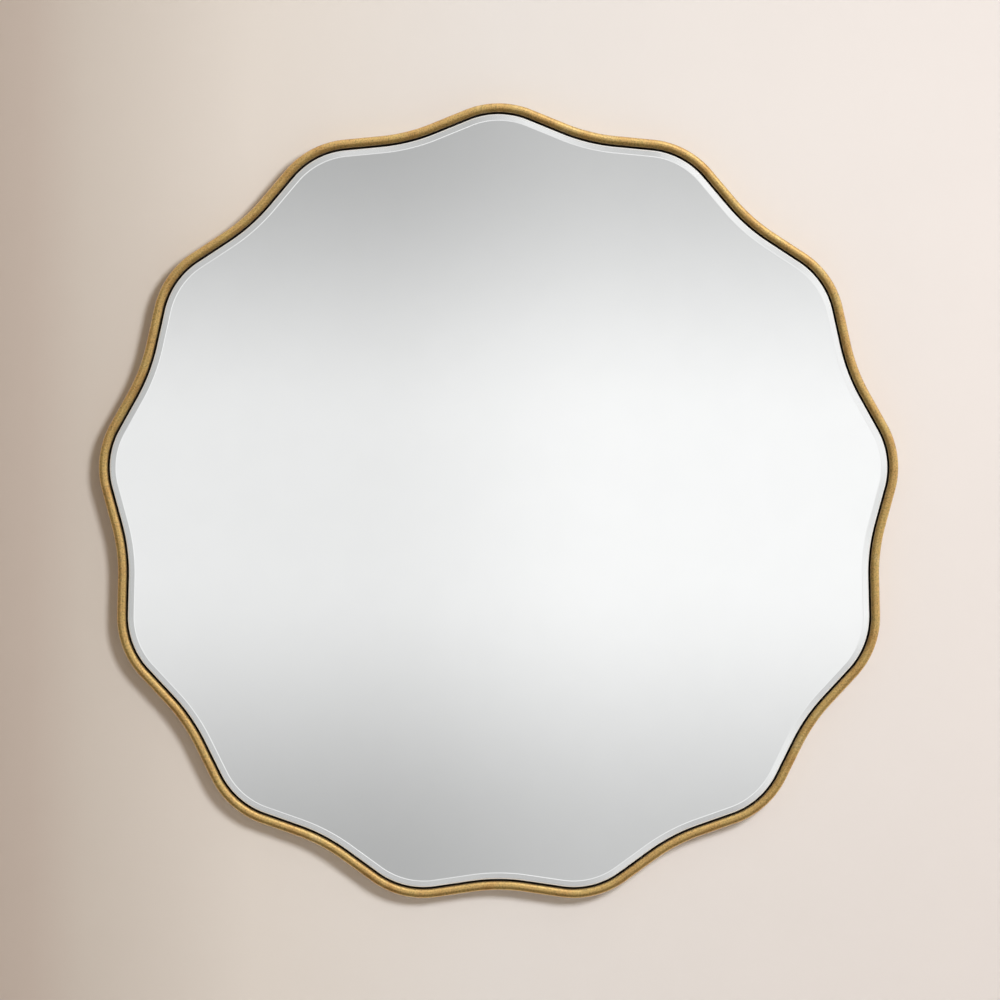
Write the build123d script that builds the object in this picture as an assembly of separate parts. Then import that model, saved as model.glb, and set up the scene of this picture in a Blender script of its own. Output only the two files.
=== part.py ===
from build123d import *
import os
from math import asin, atan2, cos, degrees, pi, sin, sqrt

# A scalloped wall mirror: bevelled glass on a black board, in a thin frame of bent aluminium bar.
# Sizes are in millimetres. Every piece is drawn lying on the bench with the glass up:
# X to the right, Y up the wall, Z from the wall towards the room, and Z = 0 at the wall.
# The last step stands the whole mirror up, so that Z is up and the glass looks along -Y.

# Scalloped outline, at the outer edge of the frame
scallops = 13
crest_radius = 435.0
scallop_depth = 18.7
crest_arc_radius = 95.3
flank_length = 39.9

# Frame bar: flat sides and back, rounded front
frame_width = 9.5
frame_depth = 23.4
frame_crown = 3.0
frame_back_edge = 0.8

# Glass, with a flat bevel ground round its edge
glass_thickness = 5.0
glass_gap = 2.3
bevel_width = 6.35
bevel_depth = 1.6
silvering_thickness = 0.2

# Backing board, held inside the frame
board_thickness = 9.0
board_recess = 5.0
board_clearance = 0.6

# Foam tape between board and glass
tape_strips = 5
tape_width = 19.0
tape_thickness = 1.0
tape_side_margin = 104.5
tape_end_margin = 30.0

# Tabs, welded inside the frame at every second valley
tab_step = 2
tab_width = 26.0
tab_length = 20.0
tab_thickness = 2.0
tab_corner = 4.0
tab_hole_inset = 10.0
weld_leg = 1.4

# Pan-head screws, for the tabs and for the hangers
screw_shank = 3.5
screw_length = 9.5
screw_tip = 2.0
screw_tip_share = 0.25
screw_head = 7.0
screw_head_top = 5.4
screw_head_height = 2.2
screw_hole = 4.2
pilot_clearance = 0.02
pilot_spare_depth = 0.6

# Strap hangers, each folded from one strip of sheet round the bar of its ring
hanger_spacing = 406.4
hanger_height = 240.0
strap_width = 14.0
strap_length = 45.0
strap_sheet = 1.0
strap_layer_gap = 0.2
strap_corner = 5.0
crook_radius = 1.0
strap_first_hole = 26.0
strap_hole_spacing = 12.0

# D-rings, bent from round wire
ring_wire = 2.6
ring_inside_width = 22.0
ring_reach = 17.0
ring_corner_radius = 3.5
ring_clearance = 0.05
ring_rest_gap = 0.3

# Rubber bumpers on the back of the frame
bumper_crests = (2, 5, 8, 11)
bumper_diameter = 8.0
bumper_height = 2.0
bumper_edge = 0.5

# Flats that small round parts are drawn with, and chords that the rings' bends are drawn with
round_flats = 8
corner_chords = 3
bow_chords = 9

# Heights above the wall, from the back of the mirror to its front
frame_back = bumper_height
frame_front = frame_back + frame_depth
board_back = frame_back + board_recess
board_front = board_back + board_thickness
tape_front = board_front + tape_thickness
glass_back = tape_front + silvering_thickness

# Distances inside the frame's outer edge
glass_inset = frame_width + glass_gap
board_inset = frame_width + board_clearance

# Each scallop is a crest arc, a straight flank, a valley arc and another flank, all tangent.
# The valley arc is the one that joins two flanks of the stated length at the stated depth.
half_pitch = pi / scallops
valley_radius = crest_radius - scallop_depth
crest_centre = crest_radius - crest_arc_radius
valley_arc_radius = (
    crest_arc_radius**2
    + flank_length**2
    - valley_radius**2
    - crest_centre**2
    + 2 * crest_centre * valley_radius * cos(half_pitch)
) / (2 * (valley_radius - crest_centre * cos(half_pitch) - crest_arc_radius))
valley_centre = valley_radius + valley_arc_radius
centres_x = valley_centre * cos(half_pitch) - crest_centre
centres_y = valley_centre * sin(half_pitch)
flank_turn = atan2(centres_y, centres_x) - atan2(flank_length, crest_arc_radius + valley_arc_radius)


def scallop_outline(inset):
    """The closed outline, a steady distance inside the frame's outer edge."""
    turn = degrees(flank_turn)
    pitch = degrees(2 * half_pitch)
    crest = CenterArc((crest_centre, 0), crest_arc_radius - inset, -turn, 2 * turn)
    valley_middle = (valley_centre * cos(half_pitch), valley_centre * sin(half_pitch))
    valley = CenterArc(valley_middle, valley_arc_radius + inset, 180 + turn, pitch - 2 * turn)
    falling_flank = Line(crest @ 1, valley @ 0)
    rising_flank = Line(valley @ 1, (crest @ 0).rotate(Axis.Z, pitch))
    lobe = [crest, falling_flank, valley, rising_flank]
    turns = PolarLocations(0, scallops, start_angle=90)
    return Wire([place * edge for place in turns for edge in lobe])


def scallop_plate(inset, back, thickness):
    """A flat plate of the scalloped shape, standing on the height given by back."""
    return extrude(Pos(0, 0, back) * Face(scallop_outline(inset)), thickness, dir=(0, 0, 1))


def valley_angle(number):
    """Direction of a valley from the middle, in degrees."""
    return 90 + (number + 0.5) * 360 / scallops


def round_face(diameter):
    """A small round section, drawn with flats."""
    return RegularPolygon(diameter / 2, round_flats)


def make_frame_ring():
    """Round-fronted bar, bent round the scallops and closed on itself."""
    shoulder = frame_front - frame_crown
    sides = [
        Line((0, frame_back), (0, shoulder)),
        ThreePointArc((0, shoulder), (frame_width / 2, frame_front), (frame_width, shoulder)),
        Line((frame_width, shoulder), (frame_width, frame_back)),
        Line((frame_width, frame_back), (0, frame_back)),
    ]
    section = make_face(sides)
    wall_corner = section.vertices().group_by(Axis.Y)[0].sort_by(Axis.X)[0]
    section = chamfer(wall_corner, frame_back_edge)
    rail = scallop_outline(0)
    heading = rail % 0
    inwards = Vector(0, 0, 1).cross(heading)
    start = Plane(rail @ 0, x_dir=inwards, z_dir=heading)
    return sweep(start * section, path=rail)


def make_glass():
    """The pane, its front edge ground down to a wide flat bevel."""
    pane = scallop_plate(glass_inset, glass_back, glass_thickness)
    front = pane.faces().sort_by(Axis.Z)[-1]
    return chamfer(front.edges(), bevel_width, bevel_depth, reference=front)


# The tape strips stand side by side, spread evenly over the glass
glass_radius = valley_radius - glass_inset
tape_spacing = 2 * (glass_radius - tape_side_margin) / (tape_strips - 1)


def make_tape_strip(offset):
    """One upright strip of foam tape, as long as the round of the glass allows there."""
    reach = glass_radius - tape_end_margin
    half_length = sqrt(reach**2 - offset**2)
    strip = Rectangle(tape_width, 2 * half_length)
    return extrude(Pos(offset, 0, board_front) * strip, tape_thickness)


# A tab and its screw lie on the X axis here, and turn to their valley afterwards.
frame_inner_wall = valley_radius - frame_width
tab_hole_place = frame_inner_wall - tab_hole_inset
tab_back = board_back - tab_thickness
tab_valleys = range(0, scallops, tab_step)


def make_tab():
    """Flat tab, its outer edge cut to the frame's bend, with a weld bead along that edge."""
    wall_radius = valley_arc_radius + frame_width
    bend = Pos(valley_centre, 0)
    blank_length = 2 * tab_length
    blank = Pos(frame_inner_wall - tab_length + blank_length / 2, 0) * Rectangle(blank_length, tab_width)
    blank = chamfer(blank.vertices().group_by(Axis.X)[0], tab_corner)
    outline = blank - bend * Circle(wall_radius) - Pos(tab_hole_place, 0) * round_face(screw_hole)
    inner_part = outline.faces().sort_by(Axis.X)[0]
    plate = extrude(Pos(0, 0, tab_back) * inner_part, tab_thickness, dir=(0, 0, 1))
    foot = (Align.CENTER, Align.CENTER, Align.MAX)
    bead = Cone(wall_radius, wall_radius + weld_leg, weld_leg, align=foot)
    bead -= Cylinder(wall_radius, weld_leg, align=foot)
    bead_length = tab_width - 2 * tab_corner
    window = Box(2 * tab_length, bead_length, weld_leg, align=foot)
    bead = bend * bead & Pos(frame_inner_wall, 0) * window
    return plate + Pos(0, 0, tab_back) * bead


def make_screw():
    """Pan-head screw, the head's bearing face at Z = 0 and the point upwards."""
    shank_end = Pos(0, 0, screw_length - screw_tip) * round_face(screw_shank)
    head_slope = degrees(atan2((screw_head - screw_head_top) / 2, screw_head_height))
    point_slope = degrees(atan2(screw_shank * (1 - screw_tip_share) / 2, screw_tip))
    head = extrude(round_face(screw_head), screw_head_height, dir=(0, 0, -1), taper=head_slope)
    shank = extrude(round_face(screw_shank), screw_length - screw_tip)
    return head + shank + extrude(shank_end, screw_tip, taper=point_slope)


def make_pilot_hole(grip):
    """Blind hole for a screw whose head sits grip below the board's back."""
    depth = screw_length - grip + pilot_spare_depth
    return extrude(round_face(screw_shank + 2 * pilot_clearance), depth)


# The strap is drawn from the side: X down the wall from the ring's bar, Y out from the board's back
# towards the wall. Its sheet runs down the board, round the bar, and back down over itself.
strap_grip = 2 * strap_sheet + strap_layer_gap
eye_radius = ring_wire / 2 + ring_clearance
eye_height = strap_sheet + eye_radius
crook_outer = crook_radius + strap_sheet
crook_height = strap_sheet + strap_layer_gap + crook_outer
crook_place = sqrt((eye_radius + crook_outer) ** 2 - (crook_height - eye_height) ** 2)
strap_holes = (strap_first_hole, strap_first_hole + strap_hole_spacing)
eye_lead = degrees(atan2(crook_height - eye_height, crook_place))


def strap_surface(lift):
    """One surface of the folded sheet, lift outside the surface that touches the ring."""
    under = strap_sheet - lift
    over = strap_sheet + strap_layer_gap + lift
    return [
        Line((strap_length, under), (0, under)),
        CenterArc((0, eye_height), eye_radius + lift, -90, eye_lead - 270),
        CenterArc((crook_place, crook_height), crook_outer - lift, 180 + eye_lead, 90 - eye_lead),
        Line((crook_place, over), (strap_length, over)),
    ]


def make_strap():
    """Folded strap hanger, with its ring's bar on the X axis."""
    inside = strap_surface(0)
    outside = strap_surface(strap_sheet)
    ends = [Line(inside[0] @ 0, outside[0] @ 0), Line(inside[-1] @ 1, outside[-1] @ 1)]
    side_view = Plane((0, 0, eye_height), x_dir=(0, -1, 0), z_dir=(1, 0, 0))
    profile = side_view * Face(Wire(inside + outside + ends))
    strap = extrude(profile, strap_width / 2, both=True)
    foot = strap.edges().filter_by(Axis.Z).group_by(Axis.Y)[0]
    strap = chamfer(foot, strap_corner)
    for hole in strap_holes:
        strap -= extrude(Pos(0, -hole, eye_height) * round_face(screw_hole), strap_grip, both=True)
    return strap


def make_ring():
    """Wire bent to a D: a round bar on the X axis, two tight corners and a half-round bow."""
    half_width = (ring_inside_width + ring_wire) / 2
    shoulder = ring_reach - half_width
    bar_end = half_width - ring_corner_radius
    bend_start = max(shoulder, ring_corner_radius)
    bends = [
        (CenterArc((bar_end, ring_corner_radius), ring_corner_radius, -90, 90), corner_chords),
        (CenterArc((0, bend_start), half_width, 0, 180), bow_chords),
        (CenterArc((-bar_end, ring_corner_radius), ring_corner_radius, 180, 90), corner_chords),
    ]
    bent = [bend @ (step / chords) for bend, chords in bends for step in range(chords + 1)]
    path = Polyline((bar_end / 2, 0), *bent, (-bar_end / 2, 0))
    start = Plane(path @ 0, z_dir=path % 0)
    bow = sweep(start * round_face(ring_wire), path=path, transition=Transition.RIGHT)
    return bow + Rot(0, 90, 0) * Cylinder(ring_wire / 2, 2 * bar_end)


# At rest the ring leans back until its bow all but touches the board.
ring_lean = degrees(asin((eye_height - ring_wire / 2 - ring_rest_gap) / ring_reach))
bar_height = board_back - eye_height


def make_bumper(number):
    """Rubber bumper on the back of the frame, in the middle of one crest."""
    bumper = extrude(round_face(bumper_diameter), bumper_height)
    bumper = chamfer(bumper.edges().group_by(Axis.Z)[0], bumper_edge)
    crest_angle = 90 + number * 360 / scallops
    return Rot(0, 0, crest_angle) * Pos(crest_radius - frame_width / 2, 0, 0) * bumper


# The pieces, by name
pieces = {}
pieces["frame_ring"] = make_frame_ring()
pieces["mirror_glass"] = make_glass()
pieces["silvering"] = scallop_plate(glass_inset, tape_front, silvering_thickness)
backing_board = scallop_plate(board_inset, board_back, board_thickness)

for number in range(tape_strips):
    tape_offset = (number - (tape_strips - 1) / 2) * tape_spacing
    pieces[f"tape_strip_{number + 1}"] = make_tape_strip(tape_offset)

tab = make_tab()
screw = make_screw()
tab_pilot = make_pilot_hole(tab_thickness)
board_screws = []
for number, valley in enumerate(tab_valleys):
    turn = Rot(0, 0, valley_angle(valley))
    pieces[f"board_tab_{number + 1}"] = turn * tab
    board_screws.append(turn * Pos(tab_hole_place, 0, tab_back) * screw)
    backing_board -= turn * Pos(tab_hole_place, 0, board_back) * tab_pilot
pieces["board_screws"] = Compound(board_screws)

strap = make_strap()
ring = make_ring()
strap_pilot = make_pilot_hole(strap_grip)
hanger_screws = []
for side, place in (("left", -hanger_spacing / 2), ("right", hanger_spacing / 2)):
    bar = Pos(place, hanger_height, bar_height)
    pieces[f"hanger_strap_{side}"] = bar * strap
    pieces[f"d_ring_{side}"] = bar * Rot(ring_lean, 0, 0) * ring
    for hole in strap_holes:
        screw_place = Pos(place, hanger_height - hole, board_back)
        hanger_screws.append(screw_place * Pos(0, 0, -strap_grip) * screw)
        backing_board -= screw_place * strap_pilot
pieces["hanger_screws"] = Compound(hanger_screws)
pieces["backing_board"] = backing_board

for number, crest in enumerate(bumper_crests):
    pieces[f"wall_bumper_{number + 1}"] = make_bumper(crest)

# Stand the mirror up against the wall and write one file for each piece
stand_up = Rot(90, 0, 0)
os.makedirs("parts", exist_ok=True)
for name, piece in pieces.items():
    export_step(stand_up * piece, f"parts/{name}.step")
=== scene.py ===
from math import asin, atan2, cos, pi, radians, sin, sqrt

import bmesh
import bpy
from mathutils import Matrix, Vector, noise
from mathutils.geometry import delaunay_2d_cdt


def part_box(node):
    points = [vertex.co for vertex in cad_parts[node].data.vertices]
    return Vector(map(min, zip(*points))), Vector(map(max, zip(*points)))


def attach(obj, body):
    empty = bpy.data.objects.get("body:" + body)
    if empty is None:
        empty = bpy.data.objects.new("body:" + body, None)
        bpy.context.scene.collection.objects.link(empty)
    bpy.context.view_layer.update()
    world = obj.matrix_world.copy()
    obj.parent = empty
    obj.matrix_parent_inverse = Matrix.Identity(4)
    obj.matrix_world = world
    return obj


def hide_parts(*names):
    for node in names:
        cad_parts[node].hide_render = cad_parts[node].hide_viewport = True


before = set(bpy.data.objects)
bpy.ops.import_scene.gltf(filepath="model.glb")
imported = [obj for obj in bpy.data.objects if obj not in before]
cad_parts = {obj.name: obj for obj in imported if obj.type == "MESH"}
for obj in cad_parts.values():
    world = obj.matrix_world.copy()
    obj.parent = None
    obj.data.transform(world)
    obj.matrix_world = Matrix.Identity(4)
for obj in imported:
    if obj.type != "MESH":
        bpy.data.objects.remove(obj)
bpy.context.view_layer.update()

# Frame ring: one bar of aluminium with a rounded front, bent to thirteen scallops and welded shut
# at the foot of the mirror. It is sealed, laid with gold leaf and rubbed back, so the leaf is a
# little uneven. Its inner side, which faces the edge of the glass, is coloured dark brown: painted
# shade for the deep gap round the glass.
ring_low, ring_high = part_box("frame_ring")
scallops = 13
crest_radius = ring_high.z
scallop_depth = 0.0187
crest_arc_radius = 0.0953
flank_length = 0.0399
half_pitch = pi / scallops
valley_radius = crest_radius - scallop_depth
crest_centre = crest_radius - crest_arc_radius
valley_arc_radius = (
    crest_arc_radius**2 + flank_length**2 - valley_radius**2 - crest_centre**2
    + 2 * crest_centre * valley_radius * cos(half_pitch)
) / (2 * (valley_radius - crest_centre * cos(half_pitch) - crest_arc_radius))
valley_centre = valley_radius + valley_arc_radius
flank_turn = atan2(
    valley_centre * sin(half_pitch), valley_centre * cos(half_pitch) - crest_centre
) - atan2(flank_length, crest_arc_radius + valley_arc_radius)


def scallop_line(step):
    """Places along the frame's outer edge, each with its outward direction, once round the ring."""
    valley_sweep = 2 * flank_turn - 2 * half_pitch
    crest_steps = round(2 * flank_turn * crest_arc_radius / step)
    flank_steps = round(flank_length / step)
    valley_steps = round(valley_sweep * valley_arc_radius / step)
    line = []
    for scallop in range(scallops):
        middle = pi / 2 + 2 * half_pitch * scallop
        hub = Vector((cos(middle), sin(middle))) * crest_centre
        for count in range(crest_steps):
            turn = middle + flank_turn * (2 * count / crest_steps - 1)
            outward = Vector((cos(turn), sin(turn)))
            line.append((hub + outward * crest_arc_radius, outward))
        for side, turn in ((1, middle + flank_turn), (-1, middle + 2 * half_pitch - flank_turn)):
            outward = Vector((cos(turn), sin(turn)))
            along = Vector((-outward.y, outward.x))
            valley_middle = middle + half_pitch
            far_hub = Vector((cos(valley_middle), sin(valley_middle))) * valley_centre
            arc_end = far_hub - outward * valley_arc_radius
            begin = arc_end - along * flank_length if side > 0 else arc_end
            for count in range(flank_steps):
                line.append((begin + along * (flank_length * count / flank_steps), outward))
            if side > 0:
                for count in range(valley_steps):
                    swing = turn - valley_sweep * count / valley_steps
                    inner = Vector((cos(swing), sin(swing)))
                    line.append((far_hub - inner * valley_arc_radius, inner))
    return line


def shown(name, mesh):
    """A mesh put in the scene under its piece's name."""
    piece = bpy.data.objects.new(name, mesh)
    bpy.context.scene.collection.objects.link(piece)
    return piece


def loop_mesh(name, loops, closed_round=False, capped=True):
    """A skin over loops of points, one loop after another, as one closed body."""
    built = bmesh.new()
    rows = [[built.verts.new(point) for point in loop] for loop in loops]
    pairs = list(zip(rows, rows[1:]))
    if closed_round:
        pairs.append((rows[-1], rows[0]))
    for lower, upper in pairs:
        for k, corner in enumerate(lower):
            after = (k + 1) % len(lower)
            built.faces.new((corner, lower[after], upper[after], upper[k]))
    if capped and not closed_round:
        built.faces.new(rows[0])
        built.faces.new(rows[-1])
    bmesh.ops.recalc_face_normals(built, faces=built.faces)
    mesh = bpy.data.meshes.new(name)
    built.to_mesh(mesh)
    built.free()
    return mesh


def smooth(mesh):
    mesh.polygons.foreach_set("use_smooth", [True] * len(mesh.polygons))


def arc_points(centre, radius, begin, end, steps):
    """Points of an arc in a flat drawing, both ends among them, angles in degrees."""
    turns = [radians(begin + (end - begin) * count / steps) for count in range(steps + 1)]
    return [(centre[0] + radius * cos(turn), centre[1] + radius * sin(turn)) for turn in turns]


frame_width = 0.0095
frame_back = -ring_high.y
frame_front = -ring_low.y
nose_height = 0.0040
back_corner = 0.0009
line_step = 0.0016
side_steps = 8
nose_steps = 22
shoulder = frame_front - nose_height
back_low = frame_back + back_corner
outer_side = [(0.0, back_low + (shoulder - back_low) * k / side_steps) for k in range(1, side_steps)]
nose = [
    (frame_width / 2 * (1 - cos(pi * k / nose_steps)), shoulder + nose_height * sin(pi * k / nose_steps))
    for k in range(nose_steps + 1)
]
inner_side = [(frame_width, height) for _, height in reversed(outer_side)]
inner_corner = arc_points((frame_width - back_corner, back_low), back_corner, 0, -90, 3)
outer_corner = arc_points((back_corner, back_low), back_corner, -90, -180, 3)
frame_section = outer_side + nose + inner_side + inner_corner + outer_corner


broad_lumps_per_metre = 95
broad_lump_height = 0.00005
fine_lumps_per_metre = 320
fine_lump_height = 0.000035
fine_lump_start = Vector((7, 3, 1))


def leaf_lumps(spot):
    """Height of the gesso and leaf over the bar, in metres."""
    broad = noise.noise(spot * broad_lumps_per_metre) * broad_lump_height
    fine = noise.noise(spot * fine_lumps_per_metre + fine_lump_start) * fine_lump_height
    return broad + fine


def new_material(name):
    """An empty node material: its node adder, its linker and its finished surface node."""
    material = bpy.data.materials.new(name)
    material.use_nodes = True
    nodes = material.node_tree.nodes
    nodes.clear()
    output = nodes.new("ShaderNodeOutputMaterial")
    surface = nodes.new("ShaderNodeBsdfPrincipled")
    material.node_tree.links.new(surface.outputs[0], output.inputs[0])
    return material, nodes, material.node_tree.links.new, surface


def cloud(nodes, join, scale, detail=3.0, roughness=0.55, stretch=(1, 1, 1)):
    """Soft noise fixed to the piece, with scale in lumps per metre."""
    place = nodes.new("ShaderNodeTexCoord")
    mapping = nodes.new("ShaderNodeMapping")
    mapping.inputs["Scale"].default_value = stretch
    texture = nodes.new("ShaderNodeTexNoise")
    texture.inputs["Scale"].default_value = scale
    texture.inputs["Detail"].default_value = detail
    texture.inputs["Roughness"].default_value = roughness
    join(place.outputs["Object"], mapping.inputs["Vector"])
    join(mapping.outputs[0], texture.inputs["Vector"])
    return texture.outputs["Fac"]


def ramp(nodes, join, source, *stops):
    """Colours or greys picked by a value: each stop is (position, colour), in rising order."""
    picker = nodes.new("ShaderNodeValToRGB")
    row = picker.color_ramp.elements
    row[0].position, row[1].position = stops[0][0], stops[-1][0]
    for position, _ in stops[1:-1]:
        row.new(position)
    for element, (_, colour) in zip(row, stops):
        element.color = (*colour, 1) if isinstance(colour, tuple) else (colour, colour, colour, 1)
    join(source, picker.inputs[0])
    return picker.outputs[0]


def blended(nodes, join, factor, first, second, kind="MIX"):
    """Two colours mixed by a value or a number."""
    mixer = nodes.new("ShaderNodeMix")
    mixer.data_type = "RGBA"
    mixer.blend_type = kind
    for socket, value in ((mixer.inputs[0], factor), (mixer.inputs[6], first), (mixer.inputs[7], second)):
        if isinstance(value, bpy.types.NodeSocket):
            join(value, socket)
        elif isinstance(value, tuple):
            socket.default_value = (*value, 1)
        else:
            socket.default_value = value
    return mixer.outputs[2]


def bumped(nodes, join, height, depth, strength=1.0):
    """A normal roughened by a height between 0 and 1, with its depth in metres."""
    bump = nodes.new("ShaderNodeBump")
    bump.inputs["Strength"].default_value = strength
    bump.inputs["Distance"].default_value = depth
    join(height, bump.inputs["Height"])
    return bump.outputs[0]


def gold_leaf():
    material, nodes, join, surface = new_material("gold_leaf")
    patches = cloud(nodes, join, 38, detail=2)
    tone = ramp(
        nodes, join, patches,
        (0.30, (0.69, 0.39, 0.105)),
        (0.46, (0.78, 0.49, 0.155)),
        (0.60, (0.78, 0.52, 0.160)),
        (0.75, (0.86, 0.61, 0.260)),
    )
    grain = cloud(nodes, join, 560, detail=4, roughness=0.7)
    flecks = ramp(
        nodes, join, grain,
        (0.30, 0.42),
        (0.50, 0.96),
        (0.62, (1.08, 1.09, 1.15)),
        (0.74, (1.24, 1.32, 1.70)),
    )
    colour = blended(nodes, join, 1.0, tone, flecks, "MULTIPLY")
    join(colour, surface.inputs["Base Color"])
    rub = cloud(nodes, join, 150, detail=3)
    join(ramp(nodes, join, rub, (0.3, 0.29), (0.7, 0.42)), surface.inputs["Roughness"])
    join(bumped(nodes, join, grain, 0.00012, 0.55), surface.inputs["Normal"])
    surface.inputs["Metallic"].default_value = 0.92
    surface.inputs["Sheen Weight"].default_value = 0.06
    surface.inputs["Sheen Roughness"].default_value = 0.45
    surface.inputs["Coat Weight"].default_value = 1.0
    surface.inputs["Coat Roughness"].default_value = 0.24
    return material


def rebate_painted_shade():
    material, nodes, join, surface = new_material("rebate_painted_shade")
    streaks = cloud(nodes, join, 260, detail=3)
    # Dark brown painted shade: the frame's inner side stands in for the shade of the deep gap round the
    # glass.
    brown = ramp(nodes, join, streaks, (0.3, (0.045, 0.022, 0.006)), (0.7, (0.085, 0.043, 0.012)))
    join(brown, surface.inputs["Base Color"])
    join(bumped(nodes, join, streaks, 0.00006, 0.5), surface.inputs["Normal"])
    surface.inputs["Roughness"].default_value = 0.6
    surface.inputs["Specular IOR Level"].default_value = 0.25
    return material


def on_bench(place, outward, inset, height):
    """A point inside the frame's outer edge, at a height above the wall."""
    spot = place - outward * inset
    return Vector((spot.x, -height, spot.y))


frame_loops = []
for place, outward in scallop_line(line_step):
    frame_loops.append([on_bench(place, outward, *corner) for corner in frame_section])
ring_mesh = loop_mesh("gilded_frame", frame_loops, closed_round=True)
outward_normals = [vertex.normal.copy() for vertex in ring_mesh.vertices]
for vertex, outward in zip(ring_mesh.vertices, outward_normals):
    vertex.co += outward * leaf_lumps(vertex.co)
smooth(ring_mesh)
gilded_frame = shown("gilded_frame", ring_mesh)
gilded_frame.data.materials.append(gold_leaf())
gilded_frame.data.materials.append(rebate_painted_shade())
# The frame's inner side takes the dark brown painted shade.
rebate_first = len(outer_side) + len(nose)
rebate_last = rebate_first + len(inner_side) - 1
for face in gilded_frame.data.polygons:
    place_in_section = face.index % len(frame_section)
    face.material_index = 1 if rebate_first <= place_in_section <= rebate_last else 0
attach(gilded_frame, "mirror")
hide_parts("frame_ring")

# Board tabs: seven flat aluminium tabs, one at every second valley, welded to the inside of the
# frame behind the board. They are sprayed thinly with the frame's gold, over the weld and the tab.
tab_count = 7


def tab_paint():
    material, nodes, join, surface = new_material("tab_paint")
    scale = cloud(nodes, join, 240, detail=4)
    colour = ramp(
        nodes, join, scale,
        (0.3, (0.30, 0.20, 0.09)),
        (0.6, (0.52, 0.36, 0.16)),
        (0.8, (0.55, 0.48, 0.40)),
    )
    join(colour, surface.inputs["Base Color"])
    join(ramp(nodes, join, scale, (0.3, 0.55), (0.7, 0.38)), surface.inputs["Roughness"])
    join(bumped(nodes, join, scale, 0.0002, 0.5), surface.inputs["Normal"])
    surface.inputs["Metallic"].default_value = 0.85
    return material


def eased(piece, width, steps=2):
    """Breaks the sharp edges of a piece by a small width."""
    edge = piece.modifiers.new("eased_edges", "BEVEL")
    edge.width = width
    edge.segments = steps
    edge.limit_method = "ANGLE"
    edge.angle_limit = radians(50)


tab_edge_easing = 0.0003
thin_gold = tab_paint()
for number in range(tab_count):
    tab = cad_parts[f"board_tab_{number + 1}"]
    tab.data.materials.clear()
    tab.data.materials.append(thin_gold)
    eased(tab, tab_edge_easing)

# Backing board: medium-density fibreboard, routed to the scalloped shape and stained black on
# both faces and its edge, so that the gap round the glass looks dark.
board_back = -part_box("backing_board")[1].y


def black_board():
    material, nodes, join, surface = new_material("black_board")
    fibres = cloud(nodes, join, 900, detail=5, roughness=0.75, stretch=(1, 1, 0.35))
    stain = cloud(nodes, join, 14, detail=4)
    dark = ramp(
        nodes, join, fibres,
        (0.35, (0.0030, 0.0028, 0.0027)),
        (0.60, (0.0080, 0.0072, 0.0068)),
        (0.80, (0.0230, 0.0205, 0.0190)),
    )
    worn = ramp(nodes, join, stain, (0.3, 0.72), (0.7, 1.15))
    join(blended(nodes, join, 1.0, dark, worn, "MULTIPLY"), surface.inputs["Base Color"])
    join(ramp(nodes, join, stain, (0.3, 0.72), (0.7, 0.88)), surface.inputs["Roughness"])
    join(bumped(nodes, join, fibres, 0.00025, 0.6), surface.inputs["Normal"])
    surface.inputs["Specular IOR Level"].default_value = 0.12
    return material


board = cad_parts["backing_board"]
board.data.materials.clear()
board.data.materials.append(black_board())

# Screws: zinc-plated steel pan heads with a cross recess and a tapping thread. One holds each tab
# to the board, and two hold each hanger strap.
screw_shank = 0.0035
screw_length = 0.0095
screw_tip = 0.002
screw_head = 0.007
screw_head_height = 0.0022
screw_head_rim = 0.0006
thread_pitch = 0.0013
thread_depth = 0.00042
thread_rows = 44
screw_sides = 24
recess_length = 0.0038
recess_width = 0.00105
recess_depth = 0.0014
stand_up = Matrix.Rotation(pi / 2, 4, "X")


def turned(profile, sides, swell=None):
    """Loops of a turned piece standing on Z: profile holds (radius, height), from one end to the other."""
    loops = []
    for radius, height in profile:
        loop = []
        for side in range(sides):
            turn = 2 * pi * side / sides
            reach = radius + (swell(turn, height) if swell else 0)
            loop.append(Vector((reach * cos(turn), reach * sin(turn), height)))
        loops.append(loop)
    return loops


def carved(body, cutters):
    """A mesh with other meshes cut out of it."""
    work = shown("work", body)
    tools = [shown("cutter", cutter) for cutter in cutters]
    for tool in tools:
        cut = work.modifiers.new("cut", "BOOLEAN")
        cut.operation = "DIFFERENCE"
        cut.solver = "EXACT"
        cut.object = tool
    bpy.context.view_layer.update()
    finished = bpy.data.meshes.new_from_object(work.evaluated_get(bpy.context.evaluated_depsgraph_get()))
    for spent in (work, *tools):
        bpy.data.objects.remove(spent)
    return finished


def thread(turn, height):
    """How far the thread stands above the core at one place of the shank."""
    run_in = min(1, max(0, (height - 0.0004) / 0.0008))
    run_out = min(1, max(0, (screw_length - height) / screw_tip))
    phase = (height / thread_pitch - turn / (2 * pi)) % 1
    return thread_depth * min(run_in, run_out) * max(0, 1 - abs(phase - 0.5) / 0.3)


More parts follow.
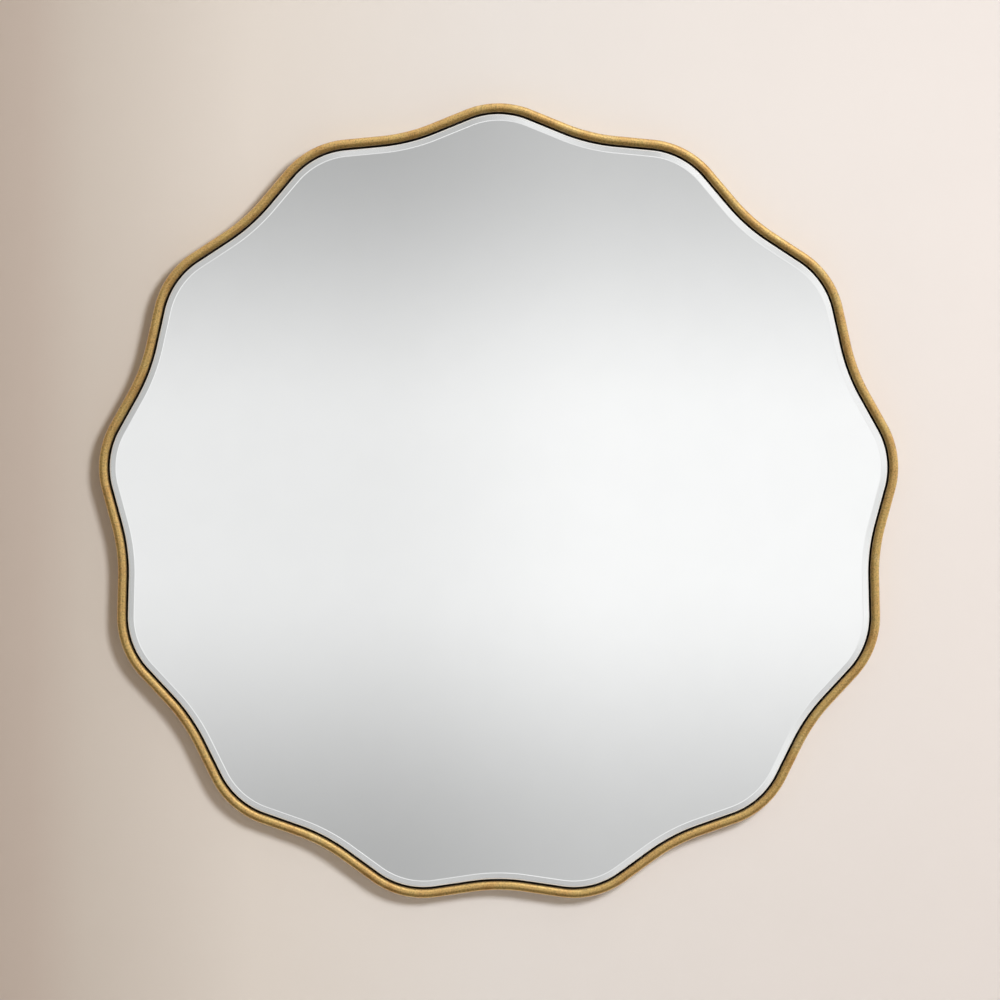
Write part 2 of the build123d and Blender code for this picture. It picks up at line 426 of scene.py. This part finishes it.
def pan_head_screw():
    """One screw on the bench, its head's bearing face at height 0 and its point upwards."""
    head_radius = screw_head / 2
    rim_centre = (head_radius - screw_head_rim * 1.6, -screw_head_height + screw_head_rim * 1.8)
    crown = [
        (head_radius * 0.02, -screw_head_height - 0.00012),
        (head_radius * 0.3, -screw_head_height - 0.00008),
    ]
    shoulder_bend = arc_points(rim_centre, screw_head_rim * 1.6, -90, 0, 6)
    head = crown + shoulder_bend + [(head_radius, -0.0001), (head_radius - 0.0001, 0)]
    core = screw_shank / 2 - thread_depth
    shank = []
    for row in range(thread_rows + 1):
        height = screw_length * row / thread_rows
        narrowing = min(1, 0.12 + (screw_length - height) / screw_tip)
        shank.append((core * narrowing, height))
    body = loop_mesh("screw", turned(head + [(screw_shank / 2, 0)] + shank[1:], screw_sides, thread))
    half, thin = recess_length / 2, recess_width / 2
    cross = []
    for quarter in range(4):
        spin = Matrix.Rotation(quarter * pi / 2, 2)
        cross += [spin @ Vector((thin, thin)), spin @ Vector((thin, half)), spin @ Vector((-thin, half))]
    levels = ((-0.0004, 1.15), (0, 1.0), (recess_depth, 0.45))
    top = -screw_head_height - 0.0001
    blades = [[Vector((x * share, y * share, top + depth)) for x, y in cross] for depth, share in levels]
    return carved(body, [loop_mesh("recess", blades)])


def zinc_plate():
    material, nodes, join, surface = new_material("zinc_plate")
    crystals = cloud(nodes, join, 900, detail=3)
    film = cloud(nodes, join, 130, detail=2)
    tone = ramp(
        nodes, join, film,
        (0.3, (0.60, 0.62, 0.64)),
        (0.5, (0.70, 0.70, 0.68)),
        (0.7, (0.72, 0.69, 0.60)),
    )
    dulled = ramp(nodes, join, crystals, (0.3, 0.84), (0.7, 1.05))
    join(blended(nodes, join, 1.0, tone, dulled, "MULTIPLY"), surface.inputs["Base Color"])
    join(ramp(nodes, join, crystals, (0.3, 0.26), (0.7, 0.42)), surface.inputs["Roughness"])
    join(bumped(nodes, join, crystals, 0.00004, 0.4), surface.inputs["Normal"])
    surface.inputs["Metallic"].default_value = 1.0
    return material


zinc = zinc_plate()
screw_mesh = pan_head_screw()


def screw_set(name, node, places):
    """Screws at (x, height above the wall, z), each turned as the driver left it, as one piece."""
    built = bmesh.new()
    for number, (x, height, z) in enumerate(places):
        spin = Matrix.Rotation(0.9 * number + 0.3, 4, "Z")
        part = screw_mesh.copy()
        part.transform(Matrix.Translation((x, -height, z)) @ stand_up @ spin)
        built.from_mesh(part)
        bpy.data.meshes.remove(part)
    mesh = bpy.data.meshes.new(name)
    built.to_mesh(mesh)
    built.free()
    mesh.materials.clear()
    mesh.materials.append(zinc)
    piece = shown(name, mesh)
    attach(piece, "mirror")
    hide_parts(node)
    return piece


tab_thickness = 0.002
tab_hole_inset = 0.010
tab_back = board_back - tab_thickness
tab_hole_radius = valley_radius - frame_width - tab_hole_inset
tab_screw_places = []
for number in range(tab_count):
    turn = pi / 2 + (2 * number + 0.5) * 2 * half_pitch
    tab_screw_places.append((tab_hole_radius * cos(turn), tab_back, tab_hole_radius * sin(turn)))
screw_set("tab_screws", "board_screws", tab_screw_places)

# Hanger straps: strip steel, zinc-plated, folded in two round the bar of its ring, closed up
# behind it and screwed to the board through both layers.
strap_width = 0.014
strap_length = 0.045
strap_sheet = 0.001
strap_layer_gap = 0.0002
strap_corner = 0.005
strap_edge_easing = 0.00012
crook_radius = 0.001
strap_hole = 0.0042
strap_holes = (0.026, 0.038)
ring_wire = 0.0026
ring_clearance = 0.00005
hanger_height = 0.240
eye_radius = ring_wire / 2 + ring_clearance
eye_height = strap_sheet + eye_radius
crook_outer = crook_radius + strap_sheet
crook_height = strap_sheet + strap_layer_gap + crook_outer
crook_place = sqrt((eye_radius + crook_outer) ** 2 - (crook_height - eye_height) ** 2)
eye_lead = atan2(crook_height - eye_height, crook_place) * 180 / pi
strap_columns = 12
round_foot = [strap_length - strap_corner * (1 - cos(radians(9 * k))) for k in range(10)]
straight_run = [crook_place + (strap_length - strap_corner - crook_place) * k / 18 for k in range(1, 18)]
strap_stations = straight_run + round_foot[::-1]


def strap_side(lift):
    """One surface of the folded sheet from the side: distances down the wall and off the board."""
    under = strap_sheet - lift
    over = strap_sheet + strap_layer_gap + lift
    down = [(station, under) for station in reversed(strap_stations)]
    eye = arc_points((0, eye_height), eye_radius + lift, -90, eye_lead - 360, 24)
    crook = arc_points((crook_place, crook_height), crook_outer - lift, 180 + eye_lead, 270, 8)
    back = [(station, over) for station in strap_stations]
    return down + eye + crook[1:] + back


def strap_half_width(down):
    """Half the strap's width, drawn in by the round corners of its foot."""
    past = max(0, down - (strap_length - strap_corner))
    return strap_width / 2 - strap_corner + sqrt(max(0, strap_corner**2 - past**2))


def folded_strap(name, place):
    loops = []
    for (low_down, low_off), (high_down, high_off) in zip(strap_side(0), strap_side(strap_sheet)):
        loop = []
        for column in range(strap_columns + 1):
            across = (2 * column / strap_columns - 1) * strap_half_width(low_down)
            loop.append(Vector((place + across, low_off - board_back, hanger_height - low_down)))
        for column in range(strap_columns, -1, -1):
            across = (2 * column / strap_columns - 1) * strap_half_width(high_down)
            loop.append(Vector((place + across, high_off - board_back, hanger_height - high_down)))
        loops.append(loop)
    drills = []
    for down in strap_holes:
        drill = loop_mesh("drill", turned([(strap_hole / 2, -0.003), (strap_hole / 2, 0.006)], 32))
        drill.transform(Matrix.Translation((place, -board_back, hanger_height - down)) @ stand_up)
        drills.append(drill)
    mesh = carved(loop_mesh(name, loops), drills)
    mesh.materials.clear()
    mesh.materials.append(zinc)
    mesh.name = name
    piece = shown(name, mesh)
    eased(piece, strap_edge_easing)
    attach(piece, "mirror")
    return piece


hanger_spacing = 0.4064
hanger_places = {"left": -hanger_spacing / 2, "right": hanger_spacing / 2}
strap_grip = 2 * strap_sheet + strap_layer_gap
hanger_screw_places = []
for side, place in hanger_places.items():
    strap = folded_strap(f"folded_strap_{side}", place)
    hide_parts(f"hanger_strap_{side}")
    for down in strap_holes:
        hanger_screw_places.append((place, board_back - strap_grip, hanger_height - down))
screw_set("strap_screws", "hanger_screws", hanger_screw_places)

# D-rings: round zinc-plated wire bent to a D, its ends meeting inside the strap's eye. Each ring
# swings in its strap, and leans back on the board when the mirror hangs by something else.
ring_inside_width = 0.022
ring_reach = 0.017
ring_corner_radius = 0.0035
ring_rest_gap = 0.0003
ring_end_gap = 0.0003
wire_end_chamfer = 0.0002
wire_sides = 20
ring_lean = asin((eye_height - ring_wire / 2 - ring_rest_gap) / ring_reach)
half_ring = (ring_inside_width + ring_wire) / 2
bar_end = half_ring - ring_corner_radius
bow_centre = ring_reach - half_ring
ring_line = [(ring_end_gap / 2 + (bar_end - ring_end_gap / 2) * k / 6, 0) for k in range(6)]
ring_line += arc_points((bar_end, ring_corner_radius), ring_corner_radius, -90, 0, 10)
ring_line += arc_points((0, bow_centre), half_ring, 0, 180, 44)
ring_line += arc_points((-bar_end, ring_corner_radius), ring_corner_radius, 180, 270, 10)
ring_line += [(-bar_end + (bar_end - ring_end_gap / 2) * k / 6, 0) for k in range(1, 7)]


def wire_loops(line, diameter, sides, end_cut):
    """Loops of a round wire along a flat line, its two ends lightly chamfered."""
    loops = []
    last = len(line) - 1
    for k, point in enumerate(line):
        before, after = Vector(line[max(0, k - 1)]), Vector(line[min(last, k + 1)])
        along = (after - before).normalized()
        across = Vector((along.y, -along.x))
        shares = [(0, 1.0)]
        if k == 0:
            shares = [(0, 0.8), (end_cut, 1.0)]
        if k == last:
            shares = [(-end_cut, 1.0), (0, 0.8)]
        for shift, share in shares:
            middle = Vector(point) + along * shift
            loop = []
            for side in range(sides):
                turn = 2 * pi * side / sides
                out = across * (cos(turn) * diameter / 2 * share)
                loop.append(Vector((middle.x + out.x, middle.y + out.y, sin(turn) * diameter / 2 * share)))
            loops.append(loop)
    return loops


for side, place in hanger_places.items():
    mesh = loop_mesh(f"wire_ring_{side}", wire_loops(ring_line, ring_wire, wire_sides, wire_end_chamfer))
    smooth(mesh)
    hung = Matrix.Translation((place, eye_height - board_back, hanger_height))
    mesh.transform(hung @ stand_up @ Matrix.Rotation(ring_lean, 4, "X"))
    mesh.materials.append(zinc)
    wire_ring = shown(f"wire_ring_{side}", mesh)
    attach(wire_ring, f"d_ring_{side}")
    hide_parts(f"d_ring_{side}")

# Wall bumpers: soft black rubber pads with their own glue, stuck to the back of the frame at four
# crests, so that the metal stays off the wall.
bumper_crests = (2, 5, 8, 11)
bumper_diameter = 0.008
bumper_edge = 0.0007


def bumper_rubber():
    material, nodes, join, surface = new_material("bumper_rubber")
    dust = cloud(nodes, join, 1500, detail=4)
    black = ramp(nodes, join, dust, (0.35, (0.012, 0.012, 0.013)), (0.75, (0.05, 0.048, 0.045)))
    join(black, surface.inputs["Base Color"])
    join(ramp(nodes, join, dust, (0.3, 0.55), (0.7, 0.80)), surface.inputs["Roughness"])
    join(bumped(nodes, join, dust, 0.00006, 0.5), surface.inputs["Normal"])
    return material


rubber = bumper_rubber()
bumper_reach = crest_radius - frame_width / 2
rim = arc_points((bumper_diameter / 2 - bumper_edge, bumper_edge), bumper_edge, -90, 0, 6)
face = [(bumper_diameter * 0.01, -0.0), (bumper_diameter * 0.2, 0.00003)]
glued_edge = [(bumper_diameter / 2, frame_back - 0.0001), (bumper_diameter / 2 - 0.0001, frame_back)]
profile = face + rim + glued_edge
for number, crest in enumerate(bumper_crests):
    mesh = loop_mesh(f"rubber_pad_{number + 1}", turned(profile, 40))
    turn = pi / 2 + 2 * half_pitch * crest
    mesh.transform(Matrix.Translation((bumper_reach * cos(turn), 0, bumper_reach * sin(turn))) @ stand_up)
    smooth(mesh)
    mesh.materials.append(rubber)
    pad = shown(f"rubber_pad_{number + 1}", mesh)
    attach(pad, "mirror")
    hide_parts(f"wall_bumper_{number + 1}")

# Foam tape: five upright strips of closed-cell foam, sticky on both faces, pressed between the
# board and the silvered glass, so that their long edges bulge a little.
tape_count = 5
tape_bulge = 0.0003
tape_wander = 0.0002
tape_rows = 30


def tape_foam():
    material, nodes, join, surface = new_material("tape_foam")
    cells = cloud(nodes, join, 2200, detail=2)
    cream = ramp(nodes, join, cells, (0.35, (0.62, 0.61, 0.56)), (0.65, (0.82, 0.81, 0.76)))
    join(cream, surface.inputs["Base Color"])
    join(bumped(nodes, join, cells, 0.0002, 0.8), surface.inputs["Normal"])
    surface.inputs["Roughness"].default_value = 0.85
    return material


foam = tape_foam()
for number in range(tape_count):
    low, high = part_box(f"tape_strip_{number + 1}")
    middle = (low + high) / 2
    half_thick = (high.y - low.y) / 2
    loops = []
    for row in range(tape_rows + 1):
        z = low.z + (high.z - low.z) * row / tape_rows
        wander = tape_wander * noise.noise(Vector((number * 3.1, z * 25, 0)))
        half_wide = (high.x - low.x) / 2 + wander
        bend = arc_points((0, 0), 1.0, -90, 90, 8)
        edge = [(half_wide - tape_bulge + x * tape_bulge, y * half_thick) for x, y in bend]
        loop = edge + [(-x, -y) for x, y in edge]
        loops.append([Vector((middle.x + x, middle.y + y, z)) for x, y in loop])
    mesh = loop_mesh(f"foam_strip_{number + 1}", loops)
    mesh.materials.append(foam)
    strip = shown(f"foam_strip_{number + 1}", mesh)
    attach(strip, "mirror")
    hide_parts(f"tape_strip_{number + 1}")

# Silvering: the silver coat on the back of the pane, sealed with copper and a dark paint. It
# stops a little short of the ground edge, and it is what gives the reflection.
silver_low, silver_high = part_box("silvering")
coat_back = -silver_high.y
coat_overlap = 0.00005
coat_front = -silver_low.y + coat_overlap
glass_inset = 0.0118
coat_margin = 0.0004
coat_inset = glass_inset + coat_margin
coat_step = 0.003


def scallop_slab(name, rings, step):
    """A flat slab closed by two faces; its rim runs through rings of (distance inside, height)."""
    line = scallop_line(step)
    return loop_mesh(name, [[on_bench(p, out, *ring) for p, out in line] for ring in rings])


def mirror_silver():
    material, nodes, join, surface = new_material("mirror_silver")
    haze = cloud(nodes, join, 30, detail=2)
    silver = ramp(nodes, join, haze, (0.3, (0.920, 0.922, 0.922)), (0.7, (0.930, 0.932, 0.932)))
    join(silver, surface.inputs["Base Color"])
    surface.inputs["Metallic"].default_value = 1.0
    surface.inputs["Roughness"].default_value = 0.0
    return material


def backing_paint():
    material, nodes, join, surface = new_material("backing_paint")
    spray = cloud(nodes, join, 700, detail=3)
    grey = ramp(nodes, join, spray, (0.3, (0.10, 0.09, 0.085)), (0.7, (0.17, 0.155, 0.145)))
    join(grey, surface.inputs["Base Color"])
    join(bumped(nodes, join, spray, 0.00005, 0.5), surface.inputs["Normal"])
    surface.inputs["Roughness"].default_value = 0.6
    return material


coat_middle = (coat_back + coat_front) / 2
coat_rings = [(coat_inset, coat_back), (coat_inset, coat_middle), (coat_inset, coat_front)]
silver_coat = shown("silver_coat", scallop_slab("silver_coat", coat_rings, coat_step))
silver_coat.data.materials.append(mirror_silver())
silver_coat.data.materials.append(backing_paint())
for face in silver_coat.data.polygons:
    face.material_index = 0 if face.center.y < -coat_middle else 1
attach(silver_coat, "mirror")
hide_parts("silvering")

# Mirror glass: one pane of 5 mm float glass, cut to the scallops. A wide flat bevel is ground and
# polished round its front, and the sharp edge under the bevel is taken off with a matt arris.
glass_low, glass_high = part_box("mirror_glass")
glass_back = -glass_high.y
glass_front = -glass_low.y
bevel_width = 0.00635
bevel_depth = 0.0016
arris = 0.0010
arris_drop = 0.0006
back_arris = 0.0004
pane_step = 0.002
bevel_foot = glass_front - bevel_depth * (1 - arris / bevel_width)
glass_rings = [
    (glass_inset + back_arris, glass_back),
    (glass_inset, glass_back + back_arris),
    (glass_inset, bevel_foot - arris_drop),
    (glass_inset + arris, bevel_foot),
    (glass_inset + bevel_width, glass_front),
]


def float_glass():
    material, nodes, join, surface = new_material("float_glass")
    tint = cloud(nodes, join, 12, detail=2)
    clear = ramp(nodes, join, tint, (0.3, (0.988, 0.996, 0.992)), (0.7, (0.992, 0.998, 0.996)))
    join(clear, surface.inputs["Base Color"])
    surface.inputs["Transmission Weight"].default_value = 1.0
    surface.inputs["Roughness"].default_value = 0.0
    surface.inputs["IOR"].default_value = 1.52
    return material


def ground_edge():
    material, nodes, join, surface = new_material("ground_edge")
    grit = cloud(nodes, join, 2600, detail=3)
    frost = ramp(nodes, join, grit, (0.3, (0.88, 0.90, 0.89)), (0.7, (0.97, 0.98, 0.98)))
    join(frost, surface.inputs["Base Color"])
    join(bumped(nodes, join, grit, 0.00005, 0.4), surface.inputs["Normal"])
    surface.inputs["Roughness"].default_value = 0.40
    return material


pane = shown("bevelled_pane", scallop_slab("bevelled_pane", glass_rings, pane_step))
pane.data.materials.append(float_glass())
pane.data.materials.append(ground_edge())
for face in pane.data.polygons:
    out = -face.center.y
    face.material_index = 1 if bevel_foot - arris_drop < out < bevel_foot else 0
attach(pane, "mirror")
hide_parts("mirror_glass")

# Wall and floor: a pale plaster wall with painted shade, darker and warmer towards its left, and a
# pale floor. The wall is open behind the mirror, so that light reaches the back. A narrow strip of
# wall closes the view through the slit between frame and board.
wall_half_width = 3.2
wall_top = 2.4
floor_height = -1.35
floor_depth = 4.2
opening_inset = 0.005
slit_insets = (0.0085, 0.0112)
opening_step = 0.006
painted_shade_half_width = 0.75


def stage_paint(name, low, high, scale):
    material, nodes, join, surface = new_material(name)
    mottle = cloud(nodes, join, scale, detail=4)
    colour = ramp(nodes, join, mottle, (0.35, low), (0.65, high))
    surface.inputs["Roughness"].default_value = 0.9
    surface.inputs["Specular IOR Level"].default_value = 0.1
    return material, nodes, join, surface, colour


def seen_from_front_only(material):
    """Lets the camera look through the back of a stage surface."""
    nodes, join = material.node_tree.nodes, material.node_tree.links.new
    output = next(node for node in nodes if node.type == "OUTPUT_MATERIAL")
    surface = next(node for node in nodes if node.type == "BSDF_PRINCIPLED")
    facing = nodes.new("ShaderNodeNewGeometry")
    ray = nodes.new("ShaderNodeLightPath")
    both = nodes.new("ShaderNodeMath")
    both.operation = "MULTIPLY"
    clear = nodes.new("ShaderNodeBsdfTransparent")
    choice = nodes.new("ShaderNodeMixShader")
    join(facing.outputs["Backfacing"], both.inputs[0])
    join(ray.outputs["Is Camera Ray"], both.inputs[1])
    join(both.outputs[0], choice.inputs[0])
    join(surface.outputs[0], choice.inputs[1])
    join(clear.outputs[0], choice.inputs[2])
    join(choice.outputs[0], output.inputs[0])


def wall_plaster_with_painted_shade():
    mottled, even = (0.985, 0.985, 0.985), (1.0, 1.0, 1.0)
    material, nodes, join, surface, colour = stage_paint("wall_plaster_with_painted_shade", mottled, even, 3)
    place = nodes.new("ShaderNodeTexCoord")
    sides = nodes.new("ShaderNodeSeparateXYZ")
    across = nodes.new("ShaderNodeMapRange")
    across.inputs["From Min"].default_value = -painted_shade_half_width
    across.inputs["From Max"].default_value = painted_shade_half_width
    join(place.outputs["Object"], sides.inputs[0])
    join(sides.outputs[0], across.inputs[0])
    # Painted shade: the wall's colour grows darker and warmer towards its left, standing in for light that
    # falls off there.
    shade = ramp(
        nodes, join, across.outputs[0],
        (0.0, (0.44, 0.38, 0.33)),
        (0.16, (0.62, 0.54, 0.49)),
        (0.20, (0.69, 0.63, 0.58)),
        (0.32, (0.83, 0.78, 0.74)),
        (0.50, (0.84, 0.81, 0.80)),
        (1.0, (0.82, 0.77, 0.76)),
    )
    join(blended(nodes, join, 1.0, colour, shade, "MULTIPLY"), surface.inputs["Base Color"])
    seen_from_front_only(material)
    return material


def floor_screed():
    pale, paler = (0.70, 0.68, 0.65), (0.76, 0.74, 0.71)
    material, _, join, surface, colour = stage_paint("floor_screed", pale, paler, 5)
    join(colour, surface.inputs["Base Color"])
    seen_from_front_only(material)
    return material


def stage_face(name, verts, faces, material):
    """A flat surface of the stage, its front towards the room."""
    mesh = bpy.data.meshes.new(name)
    mesh.from_pydata(verts, [], faces)
    if mesh.polygons[0].normal.y > 0:
        mesh.flip_normals()
    mesh.materials.append(material)
    return shown(name, mesh)


wall_edge = [
    Vector((-wall_half_width, floor_height)), Vector((wall_half_width, floor_height)),
    Vector((wall_half_width, wall_top)), Vector((-wall_half_width, wall_top)),
]
opening_line = scallop_line(opening_step)
opening = [place - outward * opening_inset for place, outward in opening_line]
outline_edges = [(k, (k + 1) % 4) for k in range(4)]
outline_edges += [(4 + k, 4 + (k + 1) % len(opening)) for k in range(len(opening))]
flat = delaunay_2d_cdt(wall_edge + opening, outline_edges, [], 0, 1e-6)
wall_faces = []
for corners in flat[2]:
    middle = sum((flat[0][k] for k in corners), Vector((0, 0))) / len(corners)
    nearest = min(opening, key=lambda point: (point - middle).length_squared)
    if middle.length > nearest.length:
        wall_faces.append(corners)
plaster = wall_plaster_with_painted_shade()
stage_face("wall", [(p.x, 0, p.y) for p in flat[0]], wall_faces, plaster)

strip_verts = []
for place, outward in opening_line:
    strip_verts += [on_bench(place, outward, inset, 0) for inset in slit_insets]
strip_faces = []
for k in range(len(opening_line)):
    after = (k + 1) % len(opening_line)
    strip_faces.append((2 * k, 2 * after, 2 * after + 1, 2 * k + 1))
stage_face("wall_behind_slit", strip_verts, strip_faces, plaster)

floor_corners = [
    (-wall_half_width, -floor_depth, floor_height), (wall_half_width, -floor_depth, floor_height),
    (wall_half_width, 0, floor_height), (-wall_half_width, 0, floor_height),
]
floor = stage_face("floor", floor_corners, [(0, 1, 2, 3)], floor_screed())
floor.visible_glossy = False
floor.visible_transmission = False

# Camera: straight on, at the height of the mirror, with a long lens.
metres_per_pixel = 0.0010824
image_width = 1000
view_distance = 3.5
view_across = 0.00155
view_height = 0.0056
view_plane_shift = 0.0032
view_plane = -(glass_front + frame_front) / 2 + view_plane_shift
camera_data = bpy.data.cameras.new("camera")
camera_data.sensor_width = 36
camera_data.lens = camera_data.sensor_width * view_distance / (metres_per_pixel * image_width)
camera = bpy.data.objects.new("camera", camera_data)
camera.location = (view_across, view_plane - view_distance, view_height)
camera.rotation_euler = (pi / 2, 0, 0)
bpy.context.scene.collection.objects.link(camera)
bpy.context.scene.camera = camera

# Studio light: a soft key lamp at the upper right, a lamp above it that only reflections show, and
# a quiet one behind the wall for the back of the mirror. The room that the glass and the gilding
# reflect is a soft bright band, lighter towards the lamps.
band_half_height = 0.02
band_fade_end = 0.12
bevel_view_start = 0.118
bevel_view_end = 0.140
room_view_start = 0.19
room_view_end = 0.33


def soft_lamp(name, place, target, size, watts, tint=(1, 1, 1)):
    data = bpy.data.lights.new(name, "AREA")
    data.shape = "DISK"
    data.size = size
    data.energy = watts
    data.color = tint
    lamp = bpy.data.objects.new(name, data)
    lamp.location = place
    lamp.rotation_euler = (Vector(target) - Vector(place)).to_track_quat("-Z", "Y").to_euler()
    lamp.visible_transmission = False
    bpy.context.scene.collection.objects.link(lamp)
    return lamp


key_lamp = soft_lamp("key_lamp", (1.18, -2.59, 0.86), (0, 0, 0), 0.75, 58, (0.97, 0.99, 1.0))
key_lamp.visible_glossy = False
shine_lamp = soft_lamp("shine_lamp", (0.85, -1.15, 1.55), (0, 0, 0), 1.2, 3.4)
shine_lamp.visible_diffuse = False
soft_lamp("rear_lamp", (-0.6, 1.8, 0.9), (0, 0, 0), 1.4, 30)

world = bpy.data.worlds.new("studio")
bpy.context.scene.world = world
world.use_nodes = True
sky = world.node_tree.nodes
sky.clear()
tie = world.node_tree.links.new


def sky_math(kind, *values):
    node = sky.new("ShaderNodeMath")
    node.operation = kind
    for socket, value in zip(node.inputs, values):
        if isinstance(value, bpy.types.NodeSocket):
            tie(value, socket)
        else:
            socket.default_value = value
    return node.outputs[0]


heading = sky.new("ShaderNodeTexCoord")
directions = sky.new("ShaderNodeSeparateXYZ")
tie(heading.outputs["Generated"], directions.inputs[0])
across, _, height = directions.outputs


def eased_step(value, start, end, low, high):
    """A smooth change from a low level to a high one while a value goes from start to end."""
    node = sky.new("ShaderNodeMapRange")
    node.interpolation_type = "SMOOTHSTEP"
    tie(value, node.inputs["Value"])
    node.inputs["From Min"].default_value = start
    node.inputs["From Max"].default_value = end
    node.inputs["To Min"].default_value = low
    node.inputs["To Max"].default_value = high
    return node.outputs[0]


def crossed(first, second, share):
    """One level turning into another as the share goes from 0 to 1."""
    return sky_math("MULTIPLY_ADD", sky_math("SUBTRACT", second, first), share, first)


height_squared = sky_math("MULTIPLY", height, height)
off_axis = sky_math("SQRT", sky_math("MULTIPLY_ADD", across, across, height_squared))
from_level = sky_math("ABSOLUTE", height)
bright_band = eased_step(from_level, band_half_height, band_fade_end, 0.97, 0.57)
left_share = eased_step(across, -0.045, 0.040, 1, 0)
left_loss = eased_step(from_level, band_half_height, band_fade_end, 0.14, 0.235)
left_to_right = sky_math("SUBTRACT", 1.055, sky_math("MULTIPLY", left_share, left_loss))
straight_view = sky_math("MULTIPLY", bright_band, left_to_right)
slopes = sky_math("MULTIPLY_ADD", across, -1.27, sky_math("MULTIPLY_ADD", height, -0.41, 0.71))
squares = sky_math("MULTIPLY", sky_math("ADD", across, height), sky_math("SUBTRACT", across, height))
corners = sky_math("MULTIPLY", across, height)
bevel_view = sky_math("MULTIPLY_ADD", corners, 5.3, sky_math("MULTIPLY_ADD", squares, 3.2, slopes))
to_lamp = sky_math("MULTIPLY_ADD", across, 0.25, sky_math("MULTIPLY_ADD", height, 0.433, 0.5))
room = ramp(
    sky, tie, to_lamp,
    (0.0, (0.15, 0.137, 0.110)),
    (0.15, (0.18, 0.166, 0.135)),
    (0.30, (0.22, 0.206, 0.172)),
    (0.50, (0.43, 0.412, 0.365)),
    (0.70, (0.78, 0.768, 0.730)),
    (0.85, (1.05, 1.05, 1.05)),
    (1.0, (1.15, 1.15, 1.15)),
)
bevel_share = eased_step(off_axis, bevel_view_start, bevel_view_end, 0, 1)
near_view = crossed(straight_view, bevel_view, bevel_share)
glimpse = sky.new("ShaderNodeBackground")
glimpse.inputs["Strength"].default_value = 1
room_share = eased_step(off_axis, room_view_start, room_view_end, 0, 1)
tie(blended(sky, tie, room_share, near_view, room), glimpse.inputs["Color"])
fill = sky.new("ShaderNodeBackground")
fill.inputs["Color"].default_value = (1.0, 0.84, 0.66, 1)
fill.inputs["Strength"].default_value = 0.36
backdrop = sky.new("ShaderNodeBackground")
backdrop.inputs["Color"].default_value = (0.90, 0.87, 0.83, 1)
ray = sky.new("ShaderNodeLightPath")
shiny = sky_math("MAXIMUM", ray.outputs["Is Glossy Ray"], ray.outputs["Is Transmission Ray"])
lit = sky.new("ShaderNodeMixShader")
tie(shiny, lit.inputs[0])
tie(fill.outputs[0], lit.inputs[1])
tie(glimpse.outputs[0], lit.inputs[2])
seen = sky.new("ShaderNodeMixShader")
tie(ray.outputs["Is Camera Ray"], seen.inputs[0])
tie(lit.outputs[0], seen.inputs[1])
tie(backdrop.outputs[0], seen.inputs[2])
world_output = sky.new("ShaderNodeOutputWorld")
tie(seen.outputs[0], world_output.inputs[0])

bpy.context.scene.view_settings.view_transform = "Standard"
